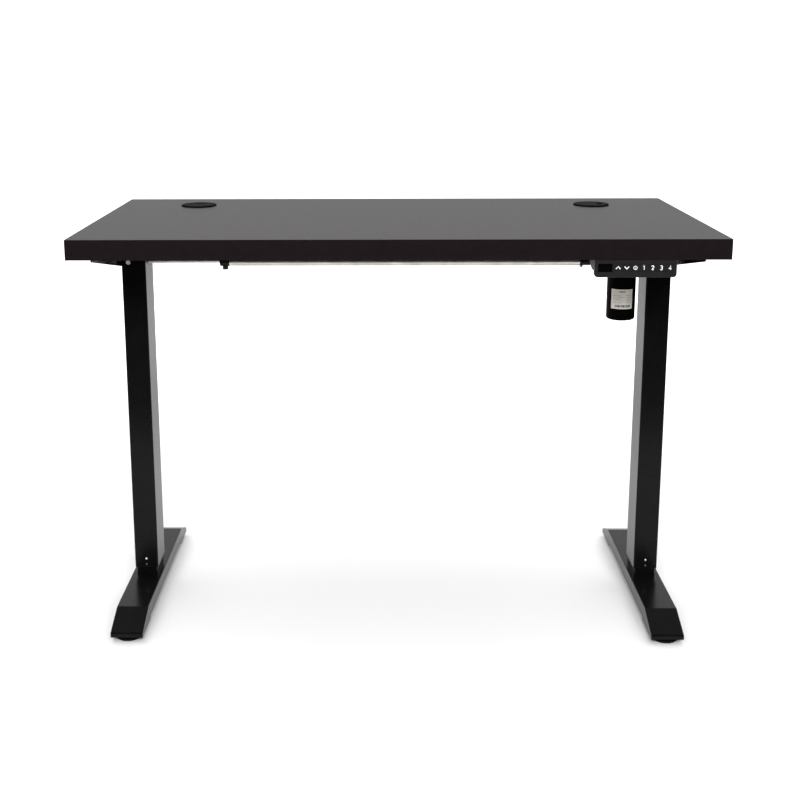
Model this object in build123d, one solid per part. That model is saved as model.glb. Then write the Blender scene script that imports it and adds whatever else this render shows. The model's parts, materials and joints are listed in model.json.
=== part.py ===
"""Electric height-adjustable desk: one board on two telescoping legs that share one motor and one hex rod.

Millimetres. The origin is on the floor under the middle of the desk.
+X is to the user's right, +Y to the rear, +Z up. The desk is modelled near the bottom of its travel.
"""
from build123d import *
from math import atan2, cos, pi, sin
import os

# ---- driving dimensions ----
BOARD_W = 1219.2
BOARD_D = 609.6
BOARD_T = 38.1
BOARD_TOP = 823.0
EDGE_BAND = 1.0
BOARD_Z = BOARD_TOP - BOARD_T

LEG_X = 540.0
COLUMN_W = 50.0
COLUMN_D = 80.0
COLUMN_WALL = 1.5
COLUMN_RADIUS = 3.0
COLUMN_Z = 64.0
GLIDE_GAP = 1.2
GLIDE_T = 1.0
GLIDE_H = 60.0
GLIDE_RIM = 2.5

FOOT_W = 65.0
FOOT_WALL = 2.5
FOOT_TOP = 45.0
FOOT_TIP_Z = 20.0
FOOT_FRONT = -261.5
FOOT_FRONT_CREASE = -193.7
FOOT_REAR_CREASE = 215.0
FOOT_REAR = 283.0
FOOT_SIDE_Z = 17.0
FOOT_END_Z = 10.5
FOOT_END_LENGTH = 80.0
PAD_Y = (-230.0, 244.0)
PAD_R = 27.5
STUD_R = 4.0

BRACKET_DEPTH = 58.0
BRACKET_END = 285.0
BRACKET_END_DEPTH = 7.0
BRACKET_FLAT = 40.0
BRACKET_WALL = 2.5
BRACKET_LIP = 5.0
COLUMN_TOP = BOARD_Z - BRACKET_WALL

BEAM_Y = 60.0
BEAM_D = 25.0
BEAM_H = 36.0
BEAM_WALL = 1.5

ROD_Z = 730.0
HEX_AF = 7.0
HEX_FIT = 0.1
TUBE_R = 10.0
RUNNING = 0.05
SCREW_R = 8.0
JOURNAL_R = 5.0
MITER_TEETH = 20
MITER_R = 14.0
PINION_TEETH = 12
WHEEL_TEETH = 24
WHEEL_R = 16.0

MOTOR_X = 472.0
MOTOR_R = 29.5
MOTOR_BOTTOM = 607.5
MOTOR_TOP = 700.0

HANDSET_X = 436.0
HANDSET_W = 150.0
HANDSET_FRONT = -303.0
HANDSET_BACK = -247.0
HANDSET_PANEL_BACK = -292.0
HANDSET_Z = 752.0
HANDSET_BODY_Z = 763.0
KEY_X = 403.8
KEY_PITCH = 15.7
KEY_W = 13.6
KEY_H = 13.0
KEY_Z = 770.0
KEY_NAMES = ("up", "down", "store", "one", "two", "three", "four")

GROMMET_X = 435.0
GROMMET_Y = 185.0
GROMMET_HOLE_R = 30.0
GROMMET_FLANGE_R = 39.0
CAP_R = 33.0
CAP_SLOT = (28.0, 12.0)
CAP_TURN = {"left": 90.0, "right": 0.0}

BOX_X = 0.0
BOX_Y = 160.0
BOX_W = 240.0
BOX_D = 90.0
BOX_H = 38.0
BOX_EAR = 18.0

PILOT_R = 2.0
PILOT_DEPTH = 26.0
SMALL_PILOT_DEPTH = 12.0
BOARD_SCREW_Y = (-250, -150, 150, 250)
BOX_SCREW_Y = 25.0
HANDSET_SCREW_X = 62.0
HANDSET_SCREW_INSET = 9.0

os.makedirs("parts", exist_ok=True)


def save(name, *solids):
    """Write one node: a single solid, or several separate ones."""
    shape = solids[0] if len(solids) == 1 else Compound(children=list(solids))
    export_step(shape, f"parts/{name}.step")


def block(x0, x1, y0, y1, z0, z1):
    """Box between two corners."""
    size = (x1 - x0, y1 - y0, z1 - z0)
    return Pos((x0 + x1) / 2, (y0 + y1) / 2, (z0 + z1) / 2) * Box(*size)


def rod_x(x0, x1, y, z, r):
    """Cylinder along X."""
    return Pos((x0 + x1) / 2, y, z) * Rot(0, 90, 0) * Cylinder(r, x1 - x0)


def rod_y(x, y0, y1, z, r):
    """Cylinder along Y."""
    return Pos(x, (y0 + y1) / 2, z) * Rot(90, 0, 0) * Cylinder(r, y1 - y0)


def rod_z(x, y, z0, z1, r):
    """Cylinder along Z."""
    return Pos(x, y, (z0 + z1) / 2) * Cylinder(r, z1 - z0)


def hex_x(x0, x1, across_flats):
    """Hexagonal bar along X on the drive axis, one flat facing down."""
    plane = Plane(origin=(x0, 0, ROD_Z), x_dir=(0, 1, 0), z_dir=(1, 0, 0))
    outline = RegularPolygon(across_flats / 2, 6, major_radius=False)
    return extrude(plane * outline, x1 - x0)


def sleeve(width, depth, wall, radius, z0, z1, x):
    """Upright rectangular tube with rounded corners, centred on a leg."""
    outer = RectangleRounded(width, depth, radius)
    inner = RectangleRounded(width - 2 * wall, depth - 2 * wall, max(radius - wall, 0.5))
    return extrude(Pos(x, 0, z0) * (outer - inner), z1 - z0)


def side_profile(points, x, width):
    """Extrude a (y, z) outline to a width centred on x."""
    plane = Plane(origin=(x - width / 2, 0, 0), x_dir=(0, 1, 0), z_dir=(1, 0, 0))
    return extrude(plane * make_face(Polyline(*points, close=True)), width)


def bevel_gear(teeth, mate_teeth, radius, face, bore_r, back):
    """Straight bevel gear about +Z with its cone's apex at the origin and its body below."""
    cone = atan2(teeth, mate_teeth)
    reach = radius / sin(cone)
    toe = (reach - face) / reach
    height = radius / teeth
    heel_point = (radius, -reach * cos(cone))
    toe_point = (radius * toe, -reach * cos(cone) * toe)

    def off(point, distance):
        return (point[0] + distance * cos(cone), point[1] + distance * sin(cone))

    root = -1.6 * height
    heel_root = off(heel_point, root)
    toe_root = off(toe_point, root)
    back_z = heel_root[1] - back
    outline = [(bore_r, toe_root[1]), toe_root, heel_root, (heel_root[0], back_z), (bore_r, back_z)]
    blank = revolve(Plane.XZ * make_face(Polyline(*outline, close=True)), Axis.Z)
    below = 1.2 * root
    flank = [off(heel_point, below), off(heel_point, height), off(toe_point, height), off(toe_point, below)]
    thickness = 0.3 * 2 * pi * radius * toe / teeth
    tooth = extrude(Plane.XZ * make_face(Polyline(*flank, close=True)), thickness / 2, both=True)
    return blank + [Rot(0, 0, 360 * i / teeth) * tooth for i in range(teeth)]


def facing(origin, x_dir, z_dir, turn=0.0):
    """Location of a gear whose apex is at origin."""
    return Plane(origin=origin, x_dir=x_dir, z_dir=z_dir).location * Rot(0, 0, turn)


def pan_screw(shank_r, length, head_r, head_h):
    """Screw about Z: head's underside at z=0, shank pointing up, with a hexagon socket."""
    head = Pos(0, 0, -head_h / 2) * Cylinder(head_r, head_h)
    shank = Pos(0, 0, length / 2) * Cylinder(shank_r, length)
    socket = Pos(0, 0, -head_h) * extrude(RegularPolygon(head_r * 0.4, 6), head_h * 0.6)
    return head + shank - socket


# ---- board ----
def board_screw_places():
    """Where the wood screws enter the underside: along both brackets."""
    return [(side * LEG_X, y) for side in (-1, 1) for y in BOARD_SCREW_Y]


def box_screw_places():
    """Where the control box's short screws enter the underside."""
    reach = (BOX_W + BOX_EAR) / 2
    return [(BOX_X + sx * reach, BOX_Y + sy * BOX_SCREW_Y) for sx in (-1, 1) for sy in (-1, 1)]


def handset_screw_places():
    """Where the handset's short screws enter the underside."""
    return [(HANDSET_X + sx * HANDSET_SCREW_X, HANDSET_BACK - HANDSET_SCREW_INSET) for sx in (-1, 1)]


def make_board():
    core_w = BOARD_W - 2 * EDGE_BAND
    core_d = BOARD_D - 2 * EDGE_BAND
    core = block(-core_w / 2, core_w / 2, -core_d / 2, core_d / 2, BOARD_Z, BOARD_TOP)
    for side in (-1, 1):
        core -= rod_z(side * GROMMET_X, GROMMET_Y, BOARD_Z - 1, BOARD_TOP + 1, GROMMET_HOLE_R)
    for x, y in board_screw_places():
        core -= rod_z(x, y, BOARD_Z - 1, BOARD_Z + PILOT_DEPTH, PILOT_R + RUNNING)
    for x, y in box_screw_places() + handset_screw_places():
        core -= rod_z(x, y, BOARD_Z - 1, BOARD_Z + SMALL_PILOT_DEPTH, PILOT_R + RUNNING)
    save("desktop_board", core)
    bands = []
    for s in (-1, 1):
        y = sorted((s * core_d / 2, s * BOARD_D / 2))
        x = sorted((s * core_w / 2, s * BOARD_W / 2))
        bands.append(block(-BOARD_W / 2, BOARD_W / 2, y[0], y[1], BOARD_Z, BOARD_TOP))
        bands.append(block(x[0], x[1], -core_d / 2, core_d / 2, BOARD_Z, BOARD_TOP))
    save("edge_bands", *bands)


def make_grommets():
    flange_t = 3.0
    wall = 2.0
    ledge_r = CAP_R - 8.0
    cap_t = 2.2
    cap_gap = 0.1
    liners = []
    for side, name in ((-1, "left"), (1, "right")):
        x = side * GROMMET_X
        flange = rod_z(x, GROMMET_Y, BOARD_TOP, BOARD_TOP + flange_t, GROMMET_FLANGE_R)
        flange = chamfer(flange.edges().group_by(Axis.Z)[-1], 1.5)
        barrel_r = GROMMET_HOLE_R - RUNNING
        barrel = rod_z(x, GROMMET_Y, BOARD_Z + 8, BOARD_TOP, barrel_r)
        liner = flange + barrel
        liner -= rod_z(x, GROMMET_Y, BOARD_Z, BOARD_TOP + flange_t, ledge_r)
        liner -= rod_z(x, GROMMET_Y, BOARD_Z, BOARD_TOP - wall, barrel_r - wall)
        seat_z = BOARD_TOP + flange_t - cap_t - cap_gap
        liner -= rod_z(x, GROMMET_Y, seat_z, BOARD_TOP + flange_t + 1, CAP_R + 0.3)
        liners.append(liner)
        cap = rod_z(x, GROMMET_Y, seat_z + cap_gap, seat_z + cap_gap + cap_t, CAP_R)
        cap = fillet(cap.edges().group_by(Axis.Z)[-1], 0.8)
        slot_place = Pos(ledge_r - CAP_SLOT[1] / 2 - 1, 0, BOARD_TOP)
        slot = slot_place * extrude(RectangleRounded(CAP_SLOT[1], CAP_SLOT[0], 5), 20, both=True)
        slot = Pos(x, GROMMET_Y, 0) * Rot(0, 0, CAP_TURN[name]) * slot
        save(f"grommet_cap_{name}", cap - slot)
    save("grommet_liners", *liners)


# ---- feet and inner columns (fixed to the floor) ----
INNER_W = COLUMN_W - 2 * (COLUMN_WALL + GLIDE_GAP)
INNER_D = COLUMN_D - 2 * (COLUMN_WALL + GLIDE_GAP)
INNER_TOP = 680.0
BASE_PLATE_T = 8.0
FOOT_BOLT_PLACES = [(sx * 12.0, sy * 25.0) for sx in (-1, 1) for sy in (-1, 1)]
FOOT_BOLT_R = 3.0
NUT_Z = 655.0
NUT_H = 22.0
CROSSBAR_Z = 12.0
CROSSBAR_H = 8.0
CROSSBAR_D = 24.0


def foot_outline(inset, below):
    """(y, z) outline of a foot, moved inwards by a wall thickness, down to below its lower edge."""
    return [
        (FOOT_FRONT + inset, FOOT_END_Z - below),
        (FOOT_FRONT + inset, FOOT_TIP_Z - inset),
        (FOOT_FRONT_CREASE + 0.2 * inset, FOOT_TOP - inset),
        (FOOT_REAR_CREASE - 0.2 * inset, FOOT_TOP - inset),
        (FOOT_REAR - inset, FOOT_TIP_Z - inset),
        (FOOT_REAR - inset, FOOT_END_Z - below),
    ]


def make_foot(x):
    """Pressed steel channel, open below, with sloped ends and a raised lower edge between them."""
    shell = side_profile(foot_outline(0, 0), x, FOOT_W)
    tips = [e for e in shell.edges().filter_by(Axis.X) if abs(e.center().Z - FOOT_TIP_Z) < 0.1]
    shell = fillet(tips, 5.0)
    creases = [e for e in shell.edges().filter_by(Axis.X) if abs(e.center().Z - FOOT_TOP) < 0.1]
    shell = fillet(creases, 4.0)
    side_edges = [e for e in shell.edges() if abs(abs(e.center().X - x) - FOOT_W / 2) < 0.1]
    shell = fillet([e for e in side_edges if e.center().Z > FOOT_END_Z + 1], 1.6)
    shell -= side_profile(foot_outline(FOOT_WALL, 5), x, FOOT_W - 2 * FOOT_WALL)
    step = [
        (FOOT_FRONT + FOOT_END_LENGTH, FOOT_END_Z - 1),
        (FOOT_FRONT + FOOT_END_LENGTH + 10, FOOT_SIDE_Z),
        (FOOT_REAR - FOOT_END_LENGTH - 10, FOOT_SIDE_Z),
        (FOOT_REAR - FOOT_END_LENGTH, FOOT_END_Z - 1),
    ]
    shell -= side_profile(step, x, FOOT_W + 2)
    for dx, dy in FOOT_BOLT_PLACES:
        shell -= rod_z(x + dx, dy, FOOT_TOP - FOOT_WALL - 1, FOOT_TOP + 1, FOOT_BOLT_R + 0.2)
    return shell


def make_base():
    bolts, nuts, glides, bars = [], [], [], []
    for side, name in ((-1, "left"), (1, "right")):
        x = side * LEG_X
        save(f"{name}_foot", make_foot(x))
        inner = sleeve(INNER_W, INNER_D, COLUMN_WALL, COLUMN_RADIUS, FOOT_TOP, INNER_TOP, x)
        plate_w = INNER_W - 2 * COLUMN_WALL
        plate_d = INNER_D - 2 * COLUMN_WALL
        plate_z = FOOT_TOP + BASE_PLATE_T / 2
        inner += Pos(x, 0, plate_z) * Box(plate_w, plate_d, BASE_PLATE_T)
        for dx, dy in FOOT_BOLT_PLACES:
            inner -= rod_z(x + dx, dy, FOOT_TOP - 1, FOOT_TOP + BASE_PLATE_T + 1, FOOT_BOLT_R + RUNNING)
            bolts.append(Pos(x + dx, dy, FOOT_TOP - FOOT_WALL) * pan_screw(FOOT_BOLT_R, 10, 5.5, 4))
        save(f"{name}_inner_column", inner)
        nut_w = plate_w - 0.4
        nut_d = plate_d - 0.4
        nut = extrude(Pos(x, 0, NUT_Z) * RectangleRounded(nut_w, nut_d, 2), NUT_H)
        nuts.append(nut - rod_z(x, 0, NUT_Z - 1, NUT_Z + NUT_H + 1, SCREW_R + RUNNING))
        top = INNER_TOP - 5
        for s in (-1, 1):
            xs = sorted((x + s * INNER_W / 2, x + s * (INNER_W / 2 + GLIDE_T)))
            ys = sorted((s * INNER_D / 2, s * (INNER_D / 2 + GLIDE_T)))
            glides.append(block(xs[0], xs[1], -25, 25, top - GLIDE_H, top))
            glides.append(block(x - 14, x + 14, ys[0], ys[1], top - GLIDE_H, top))
        for y in PAD_Y:
            bar = Pos(x, y, CROSSBAR_Z + CROSSBAR_H / 2) * Box(FOOT_W - 2 * FOOT_WALL, CROSSBAR_D, CROSSBAR_H)
            bars.append(bar - rod_z(x, y, 0, 40, STUD_R + RUNNING))
    save("foot_bolts", *bolts)
    save("lead_nuts", *nuts)
    save("upper_glides", *glides)
    save("levelling_crossbars", *bars)


def make_levelling_feet():
    """Threaded stud with a wide flared pad, one under each end of each foot."""
    rim = [(0, 0), (PAD_R - 1.5, 0), (PAD_R, 1.5), (PAD_R, 4), (PAD_R - 6, 6.5)]
    neck = [(7, 7), (7, 9), (STUD_R, 9), (STUD_R, 25), (0, 25)]
    pad = revolve(Plane.XZ * make_face(Polyline(*rim, *neck, close=True)), Axis.Z)
    for side, name in ((-1, "left"), (1, "right")):
        for y, end in zip(PAD_Y, ("front", "rear")):
            save(f"levelling_foot_{end}_{name}", Pos(side * LEG_X, y, 0) * pad)


# ---- outer columns and their top brackets ----
FRAME_BOLT_R = 2.5
GEARBOX_HALF_X = 22.5
GEARBOX_HALF_Y = 35.0
GEARBOX_Z = 703.0
GEARBOX_TOP = 757.0
COVER_T = 3.0
FACE_BOLT_X = 10.0
FACE_BOLT_Z = 734.5
SIDE_BOLT_Y = 29.0
SIDE_BOLT_Z = 746.0
LOW_SIDE_BOLT_Z = 714.0
GLIDE_SCREW_Z = (82.0, 69.0)
BEAM_BOLT_Z = (BOARD_Z - 14, BOARD_Z - 29)
ROD_HOLE_R = 7.0


def make_columns():
    glides, screws = [], []
    for side, name in ((-1, "left"), (1, "right")):
        x = side * LEG_X
        inward = -side
        column = sleeve(COLUMN_W, COLUMN_D, COLUMN_WALL, COLUMN_RADIUS, COLUMN_Z, COLUMN_TOP, x)
        wall_x = sorted((x, x + inward * (COLUMN_W / 2 + 1)))
        column -= rod_x(wall_x[0], wall_x[1], 0, ROD_Z, ROD_HOLE_R)
        for s in (-1, 1):
            y = sorted((s * (GEARBOX_HALF_Y + 1), s * (COLUMN_D / 2 + 1)))
            column -= rod_y(x - inward * FACE_BOLT_X, y[0], y[1], FACE_BOLT_Z, FRAME_BOLT_R + RUNNING)
            column -= rod_x(x - 30, x + 30, s * SIDE_BOLT_Y, SIDE_BOLT_Z, FRAME_BOLT_R + RUNNING)
            for z in GLIDE_SCREW_Z:
                column -= rod_y(x, y[0], y[1], z, 2.0 + RUNNING)
                screw = Pos(x, s * (COLUMN_D / 2 + 0.4), z) * Rot(s * 90, 0, 0) * Pos(0, 0, 0.7)
                screws.append(screw * (Cylinder(2.0, 1.8) - Pos(0, 0, -0.6) * Cylinder(1.0, 0.8)))
        if side > 0:
            for s in (-1, 1):
                column -= rod_x(wall_x[0], wall_x[1], s * SIDE_BOLT_Y, LOW_SIDE_BOLT_Z, FRAME_BOLT_R + RUNNING)
        save(f"{name}_outer_column", column)
        outer_w = COLUMN_W - 2 * COLUMN_WALL
        outer_d = COLUMN_D - 2 * COLUMN_WALL
        liner = sleeve(outer_w, outer_d, GLIDE_T, 1.5, COLUMN_Z - GLIDE_RIM, COLUMN_Z + GLIDE_H, x)
        rim_t = COLUMN_WALL + GLIDE_T - 0.3
        rim = sleeve(COLUMN_W - 0.6, COLUMN_D - 0.6, rim_t, 2.5, COLUMN_Z - GLIDE_RIM, COLUMN_Z, x)
        glides.append(liner + rim)
    save("lower_glides", *glides)
    save("glide_screws", *screws)


def bracket_outline():
    """(y, z) outline of a bracket's web, deep beside the column and shallow at both ends."""
    return [
        (-BRACKET_END, BOARD_Z),
        (-BRACKET_END, BOARD_Z - BRACKET_END_DEPTH),
        (-BRACKET_FLAT, BOARD_Z - BRACKET_DEPTH),
        (BRACKET_FLAT, BOARD_Z - BRACKET_DEPTH),
        (BRACKET_END, BOARD_Z - BRACKET_END_DEPTH),
        (BRACKET_END, BOARD_Z),
    ]


def make_brackets():
    """Angle brackets: a web outside the column, a flange under the board and a small lip on its inner edge."""
    half = COLUMN_W / 2
    lip_start = BEAM_Y + BEAM_D / 2 + 3
    for side, name in ((-1, "left"), (1, "right")):
        x = side * LEG_X
        inward = -side
        bracket = side_profile(bracket_outline(), x + side * (half + BRACKET_WALL / 2), BRACKET_WALL)
        flange_x = sorted((x + side * half, x + inward * (half + BRACKET_WALL)))
        bracket += block(flange_x[0], flange_x[1], -BRACKET_END, BRACKET_END, COLUMN_TOP, BOARD_Z)
        lip_x = sorted((x + inward * half, x + inward * (half + BRACKET_WALL)))
        for s in (-1, 1):
            lip_y = sorted((s * lip_start, s * BRACKET_END))
            bracket += block(lip_x[0], lip_x[1], lip_y[0], lip_y[1], BOARD_Z - BRACKET_LIP, BOARD_Z)
            web_x = sorted((x + side * (half - 1), x + side * (half + BRACKET_WALL + 1)))
            bracket -= rod_x(web_x[0], web_x[1], s * SIDE_BOLT_Y, SIDE_BOLT_Z, FRAME_BOLT_R + RUNNING)
            for z in BEAM_BOLT_Z:
                bracket -= rod_x(web_x[0], web_x[1], s * BEAM_Y, z, FRAME_BOLT_R + RUNNING)
        for bx, by in board_screw_places():
            if bx * side > 0:
                bracket -= rod_z(bx, by, BOARD_Z - 4, BOARD_Z + 1, PILOT_R + 0.2)
        save(f"{name}_side_bracket", bracket)


def make_crossbeams():
    """Box tubes with closed ends that run beside the columns, from one bracket's web to the other's."""
    end = LEG_X + COLUMN_W / 2
    plate_t = 4.0
    z1 = COLUMN_TOP
    z0 = z1 - BEAM_H
    beams = []
    for s in (-1, 1):
        beam = block(-end, end, s * BEAM_Y - BEAM_D / 2, s * BEAM_Y + BEAM_D / 2, z0, z1)
        inner_y = BEAM_D / 2 - BEAM_WALL
        inner_x = end - plate_t
        y0 = s * BEAM_Y - inner_y
        y1 = s * BEAM_Y + inner_y
        beam -= block(-inner_x, inner_x, y0, y1, z0 + BEAM_WALL, z1 - BEAM_WALL)
        for z in BEAM_BOLT_Z:
            beam -= rod_x(-end - 1, -inner_x + 1, s * BEAM_Y, z, FRAME_BOLT_R + RUNNING)
            beam -= rod_x(inner_x - 1, end + 1, s * BEAM_Y, z, FRAME_BOLT_R + RUNNING)
        beams.append(beam)
    save("crossbeams", *beams)


# ---- gearboxes in the column heads ----
BEARING_R = 11.0
BEARING_H = 7.0
HUB_R = 6.0
BUSH_R = 9.0
GEAR_FACE = 6.0


def make_gearboxes():
    housings, covers, bearings = [], [], []
    for side in (-1, 1):
        x = side * LEG_X
        x0 = x - GEARBOX_HALF_X
        x1 = x + GEARBOX_HALF_X
        housing = block(x0, x1, -GEARBOX_HALF_Y, GEARBOX_HALF_Y, GEARBOX_Z, GEARBOX_TOP)
        housing -= block(x0 + 3, x1 - 3, -20, 20, GEARBOX_Z + 8, GEARBOX_TOP + 1)
        housing -= rod_z(x, 0, GEARBOX_Z - 1, GEARBOX_Z + 9, JOURNAL_R + 1)
        housing -= rod_z(x, 0, GEARBOX_Z + 8 - BEARING_H, GEARBOX_Z + 9, BEARING_R + RUNNING)
        housing -= rod_x(x - 30, x, 0, ROD_Z, HUB_R + RUNNING)
        housing -= rod_x(x, x + 30, 0, ROD_Z, BUSH_R + RUNNING)
        inward = -side
        for s in (-1, 1):
            y = sorted((s * (GEARBOX_HALF_Y - 9), s * (GEARBOX_HALF_Y + 1)))
            housing -= rod_y(x - inward * FACE_BOLT_X, y[0], y[1], FACE_BOLT_Z, FRAME_BOLT_R + RUNNING)
            for d in (-1, 1):
                hole = sorted((x + d * (GEARBOX_HALF_X - 11), x + d * (GEARBOX_HALF_X + 1)))
                housing -= rod_x(hole[0], hole[1], s * SIDE_BOLT_Y, SIDE_BOLT_Z, FRAME_BOLT_R + RUNNING)
                if side > 0 and d == inward:
                    housing -= rod_x(hole[0], hole[1], s * SIDE_BOLT_Y, LOW_SIDE_BOLT_Z, FRAME_BOLT_R + RUNNING)
        housings.append(housing)
        covers.append(block(x0, x1, -GEARBOX_HALF_Y, GEARBOX_HALF_Y, GEARBOX_TOP, GEARBOX_TOP + COVER_T))
        thrust = rod_z(x, 0, GEARBOX_Z + 8 - BEARING_H, GEARBOX_Z + 8, BEARING_R)
        bearings.append(thrust - rod_z(x, 0, GEARBOX_Z, GEARBOX_Z + 9, JOURNAL_R + RUNNING))
        bush = rod_x(x + GEARBOX_HALF_X - 3, x + GEARBOX_HALF_X, 0, ROD_Z, BUSH_R)
        bearings.append(bush - rod_x(x, x + 30, 0, ROD_Z, HUB_R + RUNNING))
    save("gearbox_housings", *housings)
    wheel_bush = rod_x(GEAR_CASE_X + 2, GEAR_CASE_X + 20, 0, ROD_Z, BUSH_R)
    bearings.append(wheel_bush - rod_x(GEAR_CASE_X, GEAR_CASE_X + 30, 0, ROD_Z, HUB_R + RUNNING))
    shaft_bearing = rod_z(MOTOR_X, 0, MOTOR_TOP + 1, MOTOR_TOP + 7, BEARING_R)
    bearings.append(shaft_bearing - rod_z(MOTOR_X, 0, MOTOR_TOP, MOTOR_TOP + 8, MOTOR_SHAFT_R + RUNNING))
    save("gearbox_bearings", *bearings)
    case_y = GEAR_CASE_HALF_Y
    covers.append(block(GEAR_CASE_X, GEAR_CASE_END, -case_y, case_y, GEARBOX_TOP, GEARBOX_TOP + COVER_T))
    save("gearbox_covers", *covers)


# ---- motor and its bevel case ----
GEAR_CASE_X = 416.0
GEAR_CASE_END = 509.0
GEAR_CASE_HALF_Y = 24.0
MOTOR_SHAFT_R = 4.0
MOTOR_WALL = 1.5
MAGNET_Z = (630.0, 680.0)
MAGNET_T = 6.0
MAGNET_GAP = 8.0
ARMATURE_R = 20.0
ARMATURE_SLOTS = 12
COMMUTATOR_R = 8.0


def make_motor():
    can = rod_z(MOTOR_X, 0, MOTOR_BOTTOM, MOTOR_TOP, MOTOR_R)
    can = fillet(can.edges().group_by(Axis.Z)[0], 5.0)
    can -= rod_z(MOTOR_X, 0, MOTOR_BOTTOM + 3, MOTOR_TOP + 1, MOTOR_R - MOTOR_WALL)
    save("motor_can", can)
    z0, z1 = MAGNET_Z
    ring = rod_z(MOTOR_X, 0, z0, z1, MOTOR_R - MOTOR_WALL - RUNNING)
    ring -= rod_z(MOTOR_X, 0, z0 - 1, z1 + 1, MOTOR_R - MOTOR_WALL - MAGNET_T)
    gap = block(MOTOR_X - MAGNET_GAP / 2, MOTOR_X + MAGNET_GAP / 2, -MOTOR_R, MOTOR_R, z0 - 1, z1 + 1)
    save("motor_magnets", *(ring - gap).solids())
    shaft = rod_z(MOTOR_X, 0, MOTOR_BOTTOM + 4, ROD_Z - 12, MOTOR_SHAFT_R)
    armature = rod_z(MOTOR_X, 0, z0 + 2, z1 - 2, ARMATURE_R)
    slot = Pos(ARMATURE_R - 1, 0, (z0 + z1) / 2) * Box(4, 2, z1 - z0)
    armature -= [Pos(MOTOR_X, 0, 0) * Rot(0, 0, 360 * i / ARMATURE_SLOTS) * slot for i in range(ARMATURE_SLOTS)]
    commutator = rod_z(MOTOR_X, 0, z1 + 2, z1 + 14, COMMUTATOR_R)
    save("motor_rotor", shaft + armature + commutator)
    pinion = bevel_gear(PINION_TEETH, WHEEL_TEETH, WHEEL_R / 2, GEAR_FACE, MOTOR_SHAFT_R + 0.02, 2.0)
    save("motor_pinion", facing((MOTOR_X, 0, ROD_Z), (-1, 0, 0), (0, 0, 1)) * pinion)
    wall = LEG_X - COLUMN_W / 2
    case = block(GEAR_CASE_X, GEAR_CASE_END, -GEAR_CASE_HALF_Y, GEAR_CASE_HALF_Y, MOTOR_TOP, GEARBOX_TOP)
    toe = case.edges().filter_by(Axis.Y).sort_by(Axis.Z)[:2].sort_by(Axis.X)[0]
    case = chamfer(toe, 6.0)
    case += rod_z(MOTOR_X, 0, MOTOR_TOP, MOTOR_TOP + 8, MOTOR_R)
    case += block(GEAR_CASE_END, wall, -GEARBOX_HALF_Y, GEARBOX_HALF_Y, GEARBOX_Z, GEARBOX_TOP)
    case -= block(GEAR_CASE_X + 20, GEAR_CASE_END - 8, -20, 20, MOTOR_TOP + 8, GEARBOX_TOP + 1)
    case -= rod_z(MOTOR_X, 0, MOTOR_TOP - 1, MOTOR_TOP + 9, MOTOR_SHAFT_R + 1)
    case -= rod_z(MOTOR_X, 0, MOTOR_TOP + 1, MOTOR_TOP + 9, BEARING_R + RUNNING)
    case -= rod_x(GEAR_CASE_X - 1, GEAR_CASE_X + 3, 0, ROD_Z, HUB_R)
    case -= rod_x(GEAR_CASE_X + 2, GEAR_CASE_X + 21, 0, ROD_Z, BUSH_R + RUNNING)
    case -= rod_x(GEAR_CASE_END - 9, wall + 1, 0, ROD_Z, HUB_R)
    for s in (-1, 1):
        case -= rod_x(GEAR_CASE_END - 1, wall + 1, s * SIDE_BOLT_Y, LOW_SIDE_BOLT_Z, FRAME_BOLT_R + RUNNING)
        case -= rod_x(GEAR_CASE_END - 1, wall + 1, s * SIDE_BOLT_Y, SIDE_BOLT_Z, FRAME_BOLT_R + RUNNING)
    save("motor_gear_case", case)


# ---- drive line: screws, rod and gears ----
SCREW_Z = 165.0
SCREW_TOP = GEARBOX_Z - 0.5
GEAR_BACK = 2.0
HEX_LEFT = -LEG_X + 5
HEX_RIGHT = -60.0
COLLAR = (-366.0, -346.0)
TUBE = (-346.0, 383.0)
COUPLING = (383.0, 405.0)
THUMB_X = -355.0


def make_screws():
    """Lead screws hang from the gearboxes into the nuts at the top of the inner columns."""
    for side, name in ((-1, "left"), (1, "right")):
        x = side * LEG_X
        screw = rod_z(x, 0, SCREW_Z, SCREW_TOP, SCREW_R)
        screw = chamfer(screw.edges().group_by(Axis.Z)[0], 2.0)
        journal_top = ROD_Z - 10
        screw += rod_z(x, 0, SCREW_TOP, journal_top, JOURNAL_R)
        save(f"{name}_lead_screw", screw)
        gear = bevel_gear(MITER_TEETH, MITER_TEETH, MITER_R, GEAR_FACE, JOURNAL_R + 0.02, GEAR_BACK)
        save(f"{name}_screw_gear", facing((x, 0, ROD_Z), (1, 0, 0), (0, 0, 1)) * gear)


def drive_gear(x, facing_x, gear_teeth, mate_teeth, radius, hub):
    """Bevel gear on the hexagonal drive line, its hub reaching away from the cone's apex."""
    gear = bevel_gear(gear_teeth, mate_teeth, radius, GEAR_FACE, 0.0, GEAR_BACK)
    placed = facing((x, 0, ROD_Z), (0, 0, -1), (facing_x, 0, 0), 180 / gear_teeth) * gear
    near = x - facing_x * (radius * mate_teeth / gear_teeth)
    ends = sorted((near, x - facing_x * hub))
    placed += rod_x(ends[0], ends[1], 0, ROD_Z, HUB_R)
    return placed - hex_x(x - 60, x + 60, HEX_AF + HEX_FIT)


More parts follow.
